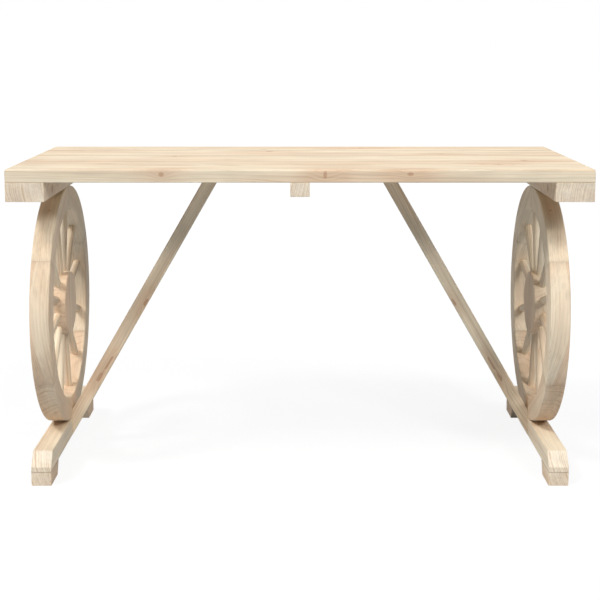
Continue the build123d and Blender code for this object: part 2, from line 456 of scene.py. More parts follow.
@dataclass
class ScrewForm:
    """A countersunk wood screw: a head with a cross recess, a neck, a thread and a point."""

    length: float
    diameter: float = 4.5 * MM
    head_diameter: float = 9 * MM
    head_height: float = 3 * MM
    land: float = 0.25 * MM
    neck_share: float = 0.74
    core_share: float = 0.62
    thread_share: float = 0.6
    pitch: float = 2.4 * MM
    ridge_share: float = 0.32
    tip_length: float = 7 * MM
    recess_width: float = 1.3 * MM
    recess_length: float = 5 * MM
    recess_depth: float = 1.9 * MM
    recess_wall: float = 0.35 * MM
    recess_fall: float = 0.55
    face_rings: int = 13
    steps_per_turn: int = 6
    around: int = 32

    def recess(self, across: Array, up: Array) -> Array:
        """How deep the face lies at a place on it.

        The depth grows with the way into the nearer arm of a cross, up to a limit
        that falls with the square of the distance from the middle.

        Args:
            across: Distances from the middle, across.
            up: Distances from the middle, up.

        Returns:
            The depths.
        """
        half_width, half_length = self.recess_width / 2, self.recess_length / 2
        level, upright = np.abs(across), np.abs(up)
        first = np.minimum(half_width - upright, half_length - level)
        second = np.minimum(half_width - level, half_length - upright)
        into = np.clip(np.maximum(first, second) / self.recess_wall, 0, 1)
        far = (across**2 + up**2) / half_length**2
        return self.recess_depth * into * (1 - self.recess_fall * np.clip(far, 0, 1))

    def surface(self) -> Surface:
        """The screw in its own frame, from the middle of its face to its point.

        The thread's radius climbs from the core to the full radius and falls back once
        in each turn, by the way along over the pitch less the angle over a full turn.
        It fades in over one pitch, and the tip narrows it evenly to nothing.

        Returns:
            The distance along, across and up of every ring's points, and no cuts.
        """
        turn = np.linspace(0, FULL_TURN, self.around, endpoint=False)
        radius, head_radius = self.diameter / 2, self.head_diameter / 2
        neck = self.neck_share * radius
        start = self.length * (1 - self.thread_share)
        count = round((self.length - start) / self.pitch * self.steps_per_turn)
        way = np.linspace(start, self.length, count)[:, None]
        grown = np.clip((way - start) / self.pitch, 0, 1)
        tip = np.clip((self.length - way) / self.tip_length, 0, 1)
        phase = (way / self.pitch - turn / FULL_TURN) % 1.0
        ridge = np.clip(1 - np.abs(phase - 0.5) / self.ridge_share, 0, 1) * grown
        core = neck + (self.core_share * radius - neck) * grown
        thread = tip * (core + (radius - core) * ridge)
        even = np.ones(self.around)
        face = np.linspace(0, head_radius, self.face_rings)
        radii = np.concatenate((np.outer((*face, head_radius, neck, neck), even), thread))
        across, up = radii * np.cos(turn), radii * np.sin(turn)
        depth = self.recess(across[: len(face)], up[: len(face)])
        places = np.outer((self.land, self.head_height, start - self.pitch), even)
        along = np.concatenate((depth, places, np.repeat(way, self.around, axis=1)))
        return along, across, up, np.zeros_like(across)


# ---- meshes
def skin(rings: int, around: int) -> tuple[Array, Array]:
    """The faces of a closed tube whose first and last rings are single points.

    Args:
        rings: How many full rings lie between the two points.
        around: How many points each ring has.

    Returns:
        Quads between the rings, and triangles at the two points. The first point has
        number 0, then come the rings in order, and the last point comes at the end.
    """
    ring, place = np.meshgrid(np.arange(rings - 1), np.arange(around), indexing="ij")
    after = (place + 1) % around
    low, high = 1 + ring * around, 1 + (ring + 1) * around
    quads = np.stack((low + place, low + after, high + after, high + place), -1)
    step = np.arange(around)
    after = (step + 1) % around
    last = 1 + rings * around
    top = last - around
    first_fan = np.stack((np.zeros(around, int), 1 + after, 1 + step), -1)
    last_fan = np.stack((np.full(around, last), top + step, top + after), -1)
    return quads.reshape(-1, 4), np.concatenate((first_fan, last_fan))


def linked(name: str, data: bpy.types.ID) -> Piece:
    """A new object of the scene, at the origin.

    Args:
        name: Its name.
        data: Its mesh, light or camera.

    Returns:
        The object.
    """
    thing = bpy.data.objects.new(name, data)
    bpy.context.scene.collection.objects.link(thing)
    return thing


def lofted(name: str, form: Form, place: Place) -> Piece:
    """Makes the smooth object of a form, its faces pointing outwards.

    They are turned round if the volume inside, a sixth of the sum of the triple
    products of their corners, is below zero.

    Args:
        name: The piece's name.
        form: The form.
        place: Turns distances along, across and up into points.

    Returns:
        The object, with an attribute that marks the cuts across its grain and the painted
        highlight on sloped tops.
    """
    along, across, up, cut = form.surface()
    rings, around = along.shape
    points = place(along, across, up)
    points = np.concatenate((points[0, :1], points[1:-1].reshape(-1, 3), points[-1, :1]))
    quads, fans = skin(rings - 2, around)
    halves = np.concatenate((quads[:, (0, 1, 2)], quads[:, (0, 2, 3)], fans))
    a, b, c = (points[halves[:, number]] for number in range(3))
    if np.einsum("ij,ij->i", a, np.cross(b, c)).sum() < 0:
        quads, fans = quads[:, ::-1], fans[:, ::-1]
    mesh = bpy.data.meshes.new(name)
    mesh.from_pydata(points.tolist(), [], quads.tolist() + fans.tolist())
    mesh.shade_smooth()
    store(mesh, "end", np.r_[1.0, cut[1:-1].ravel(), 1.0])
    return linked(name, mesh)


def joined(name: str, pieces: Sequence[Piece]) -> Piece:
    """Makes one object of several, which keeps their attributes.

    Args:
        name: The new object's name.
        pieces: The objects, which are used up.

    Returns:
        The object.
    """
    first = pieces[0]
    with bpy.context.temp_override(active_object=first, selected_editable_objects=list(pieces)):
        bpy.ops.object.join()
    first.name = first.data.name = name
    return first


# ---- where the screws go
class ScrewGroup(Enum):
    """The sets of like screws, each named as its node."""

    RAIL = "rail_screws"
    BATTEN = "batten_screws"
    WHEEL = "wheel_screws"
    BRACE = "brace_screws"
    PAD = "pad_screws"


@dataclass(frozen=True)
class Screw:
    """One screw.

    holder is the node that its head sits in, head the middle of the head's face,
    direction the way that it points, and pocket how far back the surface lies.
    """

    group: ScrewGroup
    holder: str
    head: Point
    direction: Point
    length: float
    pocket: float = 0.0

    def frame(self, turn: float) -> Frame:
        """The screw's own frame.

        Args:
            turn: The angle that it is turned by about its axis.

        Returns:
            The frame, along the screw from the middle of its head.
        """
        axis = np.array(self.direction)
        level = np.cross(axis, X_AXIS if abs(axis[0]) < 0.5 else Y_AXIS)
        across = math.cos(turn) * level + math.sin(turn) * np.cross(axis, level)
        return Frame(np.array(self.head), np.stack((axis, across, np.cross(axis, across))))

    def hole(self) -> Piece:
        """The hole that its head sits in.

        Returns:
            A cone below the head's face and a round pocket behind it, as one object.
        """
        form = ScrewForm(self.length)
        fit, margin = 0.15 * MM, 1 * MM
        wide, narrow = form.head_diameter / 2 + fit, form.neck_share * form.diameter / 2 + fit
        back = -self.pocket - margin
        places = (back, back, form.land, form.head_height, form.head_height)
        turned = Turned(places, (0.0, wide, wide, narrow, 0.0))
        return lofted("hole", turned, self.frame(0.0).place)


def drill(piece: Piece, screws: Sequence[Screw]) -> None:
    """Cuts the holes for the heads of screws out of a piece, before its wood is worked out.

    Args:
        piece: The piece.
        screws: The screws whose heads sit in it.
    """
    cutter = joined("cutter", [screw.hole() for screw in screws])
    bore = piece.modifiers.new("holes", "BOOLEAN")
    bore.operation = "DIFFERENCE"
    bore.solver = "EXACT"
    bore.object = cutter
    bpy.context.view_layer.update()
    drilled = piece.evaluated_get(bpy.context.evaluated_depsgraph_get())
    whole = piece.data
    piece.data = bpy.data.meshes.new_from_object(drilled)
    piece.data.name = piece.name
    piece.modifiers.clear()
    bpy.data.objects.remove(cutter)
    bpy.data.meshes.remove(whole)
    piece.data.set_sharp_from_angle(angle=math.radians(35))


@dataclass
class ScrewPlan:
    """Where every screw goes, worked out from the boxes of the timbers."""

    board_bite: float = 16 * MM
    wheel_bite: float = 24 * MM
    pad_bite: float = 22 * MM
    beam_bite: float = 26 * MM
    board_inset: float = 32 * MM
    wheel_offset: float = 16 * MM
    pad_offset: float = 22 * MM
    brace_offset: float = 9 * MM
    head_depth: float = 2 * MM

    def into_planks(self, group: ScrewGroup, node: str, x: float) -> list[Screw]:
        """The screws up through a timber, a pair into each plank.

        Args:
            group: The group that they belong to.
            node: The timber.
            x: Where their row lies, sideways.

        Returns:
            The screws.
        """
        timber, inset = box_of(node), self.board_inset
        planks = [box_of("top_board_" + name) for name in PLANKS]
        rows = [y for plank in planks for y in (plank.low[1] + inset, plank.high[1] - inset)]
        length = timber.size[2] + self.board_bite
        return [Screw(group, node, (x, y, timber.low[2]), UP, length) for y in rows]

    def of_side(self, side: str, sign: float) -> list[Screw]:
        """The screws of one side of the table.

        Args:
            side: The side, left or right.
            sign: Its direction from the middle, -1 or 1.

        Returns:
            The screws of the rail, the wheel, the pads and the brace.
        """
        rail, beam, brace = "end_rail_" + side, "foot_beam_" + side, "brace_" + side
        hub, depth = box_of("hub_" + side), self.head_depth
        # Up through the rail into the planks, outside the wheel.
        x = sign * (hub.far + box_of(rail).far) / 2
        screws = self.into_planks(ScrewGroup.RAIL, rail, x)
        # Down through the rail and up through the beam into the rim.
        for node, way in ((rail, -1.0), (beam, 1.0)):
            box = box_of(node)
            z = box.low[2] if way > 0 else box.high[2]
            length = box.size[2] + self.wheel_bite
            for y in (-self.wheel_offset, self.wheel_offset):
                head = (hub.middle[0], y, z)
                screws.append(Screw(ScrewGroup.WHEEL, node, head, (0, 0, way), length))
        # Up through the pads into the beam.
        for node, way in ((f"foot_pad_front_{side}", -1.0), (f"foot_pad_rear_{side}", 1.0)):
            box = box_of(node)
            length = box.size[2] + self.pad_bite
            middle = max(abs(box.low[1]), abs(box.high[1])) - PAD_FLOOR_LENGTH / 2
            for step in (-self.pad_offset, self.pad_offset):
                head = (box.middle[0], way * middle + step, box.low[2] + depth)
                screws.append(Screw(ScrewGroup.PAD, node, head, UP, length, depth))
        # Upright through the brace into the top, and level into the beam.
        box = box_of(brace)
        pocket = BRACE_THICKNESS / math.cos(BRACE_ANGLE)
        top_x = sign * (box.near + BRACE_THICKNESS / math.sin(BRACE_ANGLE) / 2)
        top_z = box.high[2] - pocket / 2 + depth
        top_length = pocket / 2 - depth + self.board_bite
        half_beam = box_of(beam).size[2] / 2
        foot_z = box_of(beam).low[2] + half_beam
        deep = half_beam / math.tan(BRACE_ANGLE) - depth
        foot_x, foot_length = sign * (box.far - deep), deep + self.beam_bite
        group, outwards = ScrewGroup.BRACE, (sign, 0, 0)
        for y in (-self.brace_offset, self.brace_offset):
            screws += [
                Screw(group, brace, (top_x, y, top_z), UP, top_length, pocket),
                Screw(group, brace, (foot_x, y, foot_z), outwards, foot_length, pocket),
            ]
        return screws

    def every(self) -> list[Screw]:
        """All the screws of the table."""
        screws = self.into_planks(ScrewGroup.BATTEN, "centre_batten", 0.0)
        return screws + [screw for side, sign in SIDES for screw in self.of_side(side, sign)]


# ---- finishes
class Graph:
    """The shader nodes of a material or a world, and short ways to add and join them."""

    def __init__(self, owner: bpy.types.Material | bpy.types.World) -> None:
        """Starts with the nodes that a new material or world has.

        Args:
            owner: The material or world.
        """
        owner.use_nodes = True
        self.owner = owner
        self.nodes, self.links = owner.node_tree.nodes, owner.node_tree.links

    def fill(self, node: bpy.types.Node, inputs: dict[object, object]) -> None:
        """Links inputs of a node to outputs, or sets them to values.

        Args:
            node: The node.
            inputs: An output or a value for each input, by its name or number.
        """
        for key, value in inputs.items():
            if isinstance(value, Socket):
                self.links.new(value, node.inputs[key])
            else:
                node.inputs[key].default_value = value

    def add(self, kind: str, inputs: dict[object, object], **settings: object) -> bpy.types.Node:
        """Adds a node.

        Args:
            kind: The node's type, without the word ShaderNode.
            inputs: An output or a value for each input.
            **settings: Its settings.

        Returns:
            The node.
        """
        node = self.nodes.new("ShaderNode" + kind)
        for key, value in settings.items():
            setattr(node, key, value)
        self.fill(node, inputs)
        return node

    def attribute(self, name: str, output: str) -> Socket:
        """The named output of the piece's attribute."""
        return self.add("Attribute", {}, attribute_name=name).outputs[output]

    def math(self, operation: str, *values: object) -> Socket:
        """The result of one operation on numbers."""
        return self.add("Math", dict(enumerate(values)), operation=operation).outputs[0]

    def vector(self, operation: str, *values: object) -> Socket:
        """The result of one operation on vectors."""
        return self.add("VectorMath", dict(enumerate(values)), operation=operation).outputs[0]

    def length(self, vector: Socket) -> Socket:
        """The length of a vector."""
        return self.add("VectorMath", {0: vector}, operation="LENGTH").outputs["Value"]

    def scaled(self, colour: Socket, share: object) -> Socket:
        """A colour times a number."""
        return self.add("VectorMath", {0: colour, "Scale": share}, operation="SCALE").outputs[0]

    def noise(self, place: Socket, stretch: Point, detail: float, output: str = "Fac") -> Socket:
        """Noise in a stretched space.

        Args:
            place: Where it is read.
            stretch: How much finer it is in each direction.
            detail: How many finer layers it has.
            output: Fac for one number, Color for three.

        Returns:
            The noise.
        """
        where = self.vector("MULTIPLY", place, stretch)
        inputs = {"Vector": where, "Scale": 1.0, "Detail": detail, "Roughness": 0.55}
        return self.add("TexNoise", inputs).outputs[output]

    def remap(
        self, value: Socket, low: float, high: float, to_low: float, to_high: float
    ) -> Socket:
        """A value's way from low to high turned smoothly into one from to_low to to_high.

        Args:
            value: The value.
            low: Where its way begins.
            high: Where its way ends.
            to_low: The result at low and below.
            to_high: The result at high and above.

        Returns:
            The result.
        """
        ends = {"From Min": low, "From Max": high, "To Min": to_low, "To Max": to_high}
        node = self.add("MapRange", {"Value": value, **ends}, interpolation_type="SMOOTHSTEP")
        return node.outputs["Result"]

    def mix(self, share: Socket, a: object, b: object) -> Socket:
        """A colour between two colours.

        Args:
            share: How far it is on the way from the first to the second.
            a: The first colour, an output or a value.
            b: The second colour.

        Returns:
            The colour.
        """
        ends = {6: a, 7: b}
        ends = {key: end if isinstance(end, Socket) else (*end, 1.0) for key, end in ends.items()}
        return self.add("Mix", {"Factor": share, **ends}, data_type="RGBA").outputs[2]

    def ramp(self, value: Socket, stops: Sequence[tuple[float, float]]) -> Socket:
        """A grey that eases from stop to stop.

        Args:
            value: The place on the ramp.
            stops: The place and the height of each stop.

        Returns:
            The grey.
        """
        node = self.add("ValToRGB", {"Fac": value})
        ramp = node.color_ramp
        ramp.interpolation = "EASE"
        while len(ramp.elements) < len(stops):
            ramp.elements.new(1.0)
        for element, (place, height) in zip(ramp.elements, stops):
            element.position = place
            element.color = (height, height, height, 1.0)
        return node.outputs["Color"]

    def show(self, output: str, unseen: bpy.types.Node, seen: bpy.types.Node) -> None:
        """Joins up what the camera, mirrors and glass see, and what other rays meet.

        Args:
            output: The name of the output node.
            unseen: The shader that other rays meet.
            seen: The shader that is seen.
        """
        path = self.add("LightPath", {}).outputs
        directly = path["Is Camera Ray"]
        for name in ("Is Glossy Ray", "Is Transmission Ray"):
            directly = self.math("MAXIMUM", directly, path[name])
        mix = self.add("MixShader", {0: directly, 1: unseen.outputs[0], 2: seen.outputs[0]})
        self.fill(self.nodes[output], {"Surface": mix.outputs[0]})


def linear(red: int, green: int, blue: int) -> Colour:
    """A display colour, 0 to 255, as the linear colour that shaders take."""
    shares = (value / 255 for value in (red, green, blue))
    return tuple(s / 12.92 if s <= 0.04045 else ((s + 0.055) / 1.055) ** 2.4 for s in shares)


@dataclass(frozen=True)
class WoodFinish:
    """Bare planed pine.

    sap and heart are its pale and its redder colour, late the colour of the dark part
    of a growth ring, knot and rim those of a knot and its edge, cut that of a fresh
    saw cut across the grain, which the sloped tops of the foot beams take in part as a
    painted highlight, and seam that of the painted shade in the grooves between boards
    and of the dark joints between the felloes. ring_width is the width of a ring,
    contrast how strongly it shows, wander how far it strays and knot_push how many of a
    knot's radii it is pushed aside there. ring_profile gives the darkness at places
    across a ring. The points say how fine each kind of noise is along the grain, across
    and up.
    """

    slot: str
    sap: Colour = linear(243, 226, 198)
    heart: Colour = linear(230, 201, 170)
    late: Colour = linear(196, 158, 118)
    knot: Colour = linear(186, 132, 96)
    rim: Colour = linear(150, 98, 68)
    cut: Colour = linear(240, 228, 208)
    # Painted shade for the grooves and creases between pieces, and the colour of the felloes' dark
    # joints.
    seam: Colour = linear(96, 70, 50)
    ring_width: float = 4.2 * MM
    contrast: float = 0.55
    wander: float = 12 * MM
    knot_push: float = 1.2
    knot_rings: float = 21.0
    cut_share: float = 0.55
    pace: float = 70.0
    ring_profile: tuple[tuple[float, float], ...] = (
        (0.0, 0.15),
        (0.45, 0.1),
        (0.86, 1.0),
        (1.0, 0.15),
    )
    knot_stretch: Point = (0.42, 1.0, 1.0)
    drift: Point = (1.6, 11.0, 11.0)
    patches: Point = (1.9, 16.0, 16.0)
    boldness: Point = (2.4, 40.0, 40.0)
    streaks: Point = (5.0, 190.0, 190.0)
    fibres: Point = (34.0, 1300.0, 1300.0)
    clouds: Point = (8.0, 34.0, 34.0)
    bump_height: float = 0.25 * MM

    @cache
    def material(self) -> bpy.types.Material:
        """Builds the wood.

        A ring's number is the distance from the tree's middle, bent by slow noise and
        pushed out round the knots, over the width of a ring. Its fraction runs from
        pale early wood up to dark late wood and falls back at once.

        Returns:
            The material.
        """
        graph = Graph(bpy.data.materials.new(self.slot))
        grain, away = (graph.attribute(name, "Vector") for name in ("grain", "knot"))
        names = ("tone", "end", "groove", "girth", "heart")
        tone, end, groove, girth, heart = (graph.attribute(name, "Fac") for name in names)

        calc, vector, remap = graph.math, graph.vector, graph.remap
        noise, mix = graph.noise, graph.mix

        # The rings.
        reach = graph.length(away)
        swirl = graph.length(vector("MULTIPLY", away, self.knot_stretch))
        drift = vector("SUBTRACT", noise(grain, self.drift, 2.0, "Color"), (0.5, 0.5, 0.5))
        drift = vector("MULTIPLY", drift, (0.0, 2 * self.wander, 2 * self.wander))
        drift = graph.scaled(drift, calc("MULTIPLY_ADD", end, -0.5, 1.0))
        bent = vector("MULTIPLY", vector("ADD", grain, drift), (0.0, 1.0, 1.0))
        push = calc("MULTIPLY", remap(swirl, 0.0, 4.0, self.knot_push, 0.0), girth)
        radius = calc("ADD", graph.length(bent), push)
        pace = graph.add("TexNoise", {"W": radius, "Scale": self.pace}, noise_dimensions="1D")
        uneven = calc("MULTIPLY", pace.outputs["Fac"], 3 * self.ring_width)
        count = calc("DIVIDE", calc("ADD", radius, uneven), self.ring_width)
        ring = graph.ramp(calc("FRACT", count), self.ring_profile)

        # The colour of the wood between the rings, redder in patches, heart and knots.
        redness = remap(noise(grain, self.patches, 1.0), 0.35, 0.7, -0.3, 0.5)
        within = remap(calc("SUBTRACT", radius, heart), -3 * MM, 2 * MM, 0.8, 0.0)
        redness = calc("ADD", calc("ADD", redness, tone), within)
        halo = remap(swirl, 0.6, 8.0, 0.75, 0.0)
        redness = graph.add("Math", {0: redness, 1: halo}, operation="ADD", use_clamp=True)
        colour = mix(redness.outputs[0], self.sap, self.heart)
        # End grain takes the pale cut colour; on the sloped tops of the foot beams it is in part a
        # painted highlight.
        colour = mix(calc("MULTIPLY", end, self.cut_share), colour, self.cut)
        bold = remap(noise(grain, self.boldness, 1.0), 0.3, 0.7, 0.25, 1.0)
        sharper = calc("MULTIPLY_ADD", end, 0.3 * self.contrast, self.contrast)
        sharper = calc("MULTIPLY_ADD", tone, 0.35 * self.contrast, sharper)
        line = calc("MULTIPLY", calc("MULTIPLY", ring, bold), sharper)
        colour = mix(line, colour, self.late)

        # The fine grain.
        streak = noise(grain, self.streaks, 3.0)
        fibre = noise(grain, self.fibres, 2.0)
        cloud = noise(grain, self.clouds, 2.0)
        level = remap(streak, 0.25, 0.75, 0.92, 1.05)
        level = calc("ADD", level, remap(fibre, 0.3, 0.7, -0.02, 0.02))
        level = calc("ADD", level, remap(cloud, 0.3, 0.7, -0.07, 0.05))
        colour = graph.scaled(colour, level)

        # The knots, and the seam colour: painted shade in the grooves and creases between pieces,
        # and the dark joints of the felloes.
        rough_edge = calc("ADD", reach, remap(streak, 0.2, 0.8, -0.15, 0.15))
        core = remap(rough_edge, 0.5, 1.15, 0.6, 0.0)
        rings = calc("SINE", calc("MULTIPLY", reach, self.knot_rings))
        core_colour = mix(remap(rings, -1.0, 1.0, 0.0, 0.5), self.knot, self.rim)
        colour = mix(core, colour, core_colour)
        off_edge = calc("ABSOLUTE", calc("SUBTRACT", rough_edge, 0.92))
        colour = mix(remap(off_edge, 0.0, 0.2, 0.25, 0.0), colour, self.rim)
        # Painted shade in the grooves and creases, and the felloes' dark joints, where the groove
        # attribute is set.
        colour = mix(groove, colour, self.seam)

        height = calc("MULTIPLY_ADD", ring, 0.35, calc("MULTIPLY", fibre, 0.65))
        relief = {"Strength": 0.35, "Distance": self.bump_height, "Height": height}
        skin_inputs = {
            "Base Color": colour,
            "Roughness": remap(ring, 0.0, 1.0, 0.68, 0.55),
            "Normal": graph.add("Bump", relief).outputs["Normal"],
            "Specular IOR Level": 0.3,
        }
        graph.fill(graph.nodes["Principled BSDF"], skin_inputs)
        return graph.owner


@dataclass(frozen=True)
class SteelFinish:
    """Zinc-plated steel: a pale grey metal with a faint mottled crystal pattern."""

    slot: str = "screw_steel"
    pale: Colour = linear(214, 214, 208)
    dark: Colour = linear(160, 163, 160)
    mottling: Point = (900.0, 900.0, 900.0)
    bump_height: float = 0.05 * MM

    @cache
    def material(self) -> bpy.types.Material:
        """Builds the metal: noise on the object's coordinates mottles it.

        Returns:
            The material.
        """
        graph = Graph(bpy.data.materials.new(self.slot))
        place = graph.add("TexCoord", {}).outputs["Object"]
        mottle = graph.noise(place, self.mottling, 3.0)
        relief = {"Strength": 0.2, "Distance": self.bump_height, "Height": mottle}
        skin_inputs = {
            "Base Color": graph.mix(graph.remap(mottle, 0.3, 0.7, 0.0, 1.0), self.dark, self.pale),
            "Roughness": graph.remap(mottle, 0.2, 0.8, 0.28, 0.5),
            "Normal": graph.add("Bump", relief).outputs["Normal"],
            "Metallic": 1.0,
        }
        graph.fill(graph.nodes["Principled BSDF"], skin_inputs)
        return graph.owner


TOP_WOOD = WoodFinish("top_wood", wander=18 * MM)
FRAME_WOOD = WoodFinish("frame_wood")
WHEEL_WOOD = WoodFinish("wheel_wood")
STEEL = SteelFinish()


def dress(piece: Piece, finish: WoodFinish | SteelFinish, *nodes: str) -> None:
    """Gives a finished piece its material, body and slot, and hides the nodes it stands for.

    Args:
        piece: The piece.
        finish: Its finish.
        *nodes: The nodes that it replaces.
    """
    piece.data.materials.clear()
    piece.data.materials.append(finish.material())
    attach(piece, ROOT)
    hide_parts(*nodes)
    log.info("%s: %d faces, finish %s", piece.name, len(piece.data.polygons), finish.slot)


# ---- how each timber was cut
RAIL_KNOT = Knot((-0.186, 0.0, -0.003), 9 * MM, (0.0, 1.0, 0.0), 60 * MM)
FRONT_KNOTS = (
    Knot((-0.270, -0.083, 0.003), 4.5 * MM, (0.6, 0.8, 0.0), 18 * MM),
    Knot((0.049, -0.0852, 0.002), 4 * MM, UP, 4 * MM),
    Knot((0.215, -0.083, 0.004), 4 * MM, (0.8, 0.6, 0.0), 18 * MM),
    Knot((0.402, 0.02, 0.0), 6 * MM),
)
MID_FRONT_KNOTS = (Knot((-0.271, 0.055, 0.0), 6 * MM), Knot((0.467, -0.045, 0.0), 8 * MM))
MID_REAR_KNOTS = (Knot((-0.069, 0.040, 0.0), 9 * MM), Knot((0.310, -0.03, 0.0), 5 * MM))
GROWTHS = {
    "front": Growth(1, (0.02, -0.075), 0.15, FRONT_KNOTS),
    "mid_front": Growth(2, (-0.03, -0.09), 0.1, MID_FRONT_KNOTS),
    "mid_rear": Growth(3, (0.05, 0.08), 0.2, MID_REAR_KNOTS),
    "rear": Growth(4, (-0.02, -0.11), 0.2, (Knot((0.14, 0.01, 0.0), 7 * MM),)),
    "end_rail_left": Growth(5, (0.11, 0.02), 0.1, (RAIL_KNOT,)),
    "end_rail_right": Growth(6, (0.13, -0.02), 0.1, (RAIL_KNOT,)),
    "centre_batten": Growth(7, (0.12, -0.02), 0.1),
    "foot_beam_left": Growth(71, (0.10, 0.02), 0.25),
    "foot_beam_right": Growth(70, (0.10, 0.02), 0.1),
    "foot_pad_front_left": Growth(72, (0.09, 0.03), 0.7),
    "foot_pad_front_right": Growth(73, (0.09, 0.03), 0.7),
    "foot_pad_rear_left": Growth(74, (0.09, 0.03), 0.7),
    "foot_pad_rear_right": Growth(75, (0.09, 0.03), 0.7),
}


def crosswise(node: str, screws: Sequence[Screw], end: End = End()) -> Piece:
    """A drilled timber that fills a node's box from the front to the rear.

    Args:
        node: The node that it stands for.
        screws: All the screws of the table.
        end: The shape of its ends.

    Returns:
        The timber, without its finish.
    """
    box = box_of(node)
    timber = Frame(box.middle, np.stack((Y_AXIS, X_AXIS, Z_AXIS)))
    outline = rounded_outline(box.size[0], box.size[2], (TIMBER_ROUND,) * 4)
    half = box.size[1] / 2
    piece = lofted(node + "_timber", Bar(outline, -half, half, end=end), timber.place)
    drill(piece, [screw for screw in screws if screw.holder == node])
    grow(piece, timber, GROWTHS[node])
    return piece


# ---- the top
@dataclass
class Top:
    """The four planks, the rail at each end and the batten under their middle."""

    screws: Sequence[Screw]
    outer_round: float = 4 * MM
    seam_round: float = 2.2 * MM
    groove_shade: float = 0.95
    end: End = End(EndShape.ROUNDED, 3 * MM)
    arris: float = 1.5 * MM

    def plank(self, name: str) -> None:
        """Builds one plank, its outer edges rounder than those at the seams.

        Args:
            name: Where it lies: front, mid_front, mid_rear or rear.
        """
        node = "top_board_" + name
        box = box_of(node)
        front = self.outer_round if name == "front" else self.seam_round
        rear = self.outer_round if name == "rear" else self.seam_round
        outline = rounded_outline(box.size[1], box.size[2], (self.arris, self.arris, rear, front))
        timber = Frame(box.middle, np.stack((X_AXIS, Y_AXIS, Z_AXIS)))
        half = box.size[0] / 2
        piece = lofted("plank_" + name, Bar(outline, -half, half, end=self.end), timber.place)
        grow(piece, timber, GROWTHS[name])
        self.paint_groove_shade(piece, box, name)
        dress(piece, TOP_WOOD, node)

    def paint_groove_shade(self, piece: Piece, box: Box, name: str) -> None:
        """Paints shade into the rounded upper edges where a plank meets the next one, as the
        groove between them is in shade.

        The mark is the root of the way into the edge's round, 0 where that begins.

        Args:
            piece: The plank.
            box: The plank's box.
            name: Where it lies.
        """
        half = box.size / 2
        _, across, up = (points_of(piece.data) - box.middle).T
        near = 1 - (half[1] - np.abs(across)) / self.seam_round
        # Painted shade in the groove between planks, darkest at the plank's side.
        shade = self.groove_shade * np.sqrt(np.clip(near, 0, 1))
        inner = (across > 0) if name == "front" else (across < 0)
        meets = inner | name.startswith("mid")
        in_round = up > half[2] - 1.05 * self.seam_round
        store(piece.data, "groove", np.where(meets & in_round, shade, 0.0))

    def build(self) -> None:
        """Builds the planks, the rails and the batten."""
        for name in PLANKS:
            self.plank(name)
        for node in ("end_rail_left", "end_rail_right", "centre_batten"):
            dress(crosswise(node, self.screws), FRAME_WOOD, node)


# ---- the wheels
def round_wheel(angle: float) -> tuple[Array, Array]:
    """The directions outwards and onwards at an angle round a wheel."""
    sine, cosine = math.sin(angle), math.cos(angle)
    return np.array((0.0, cosine, sine)), np.array((0.0, -sine, cosine))


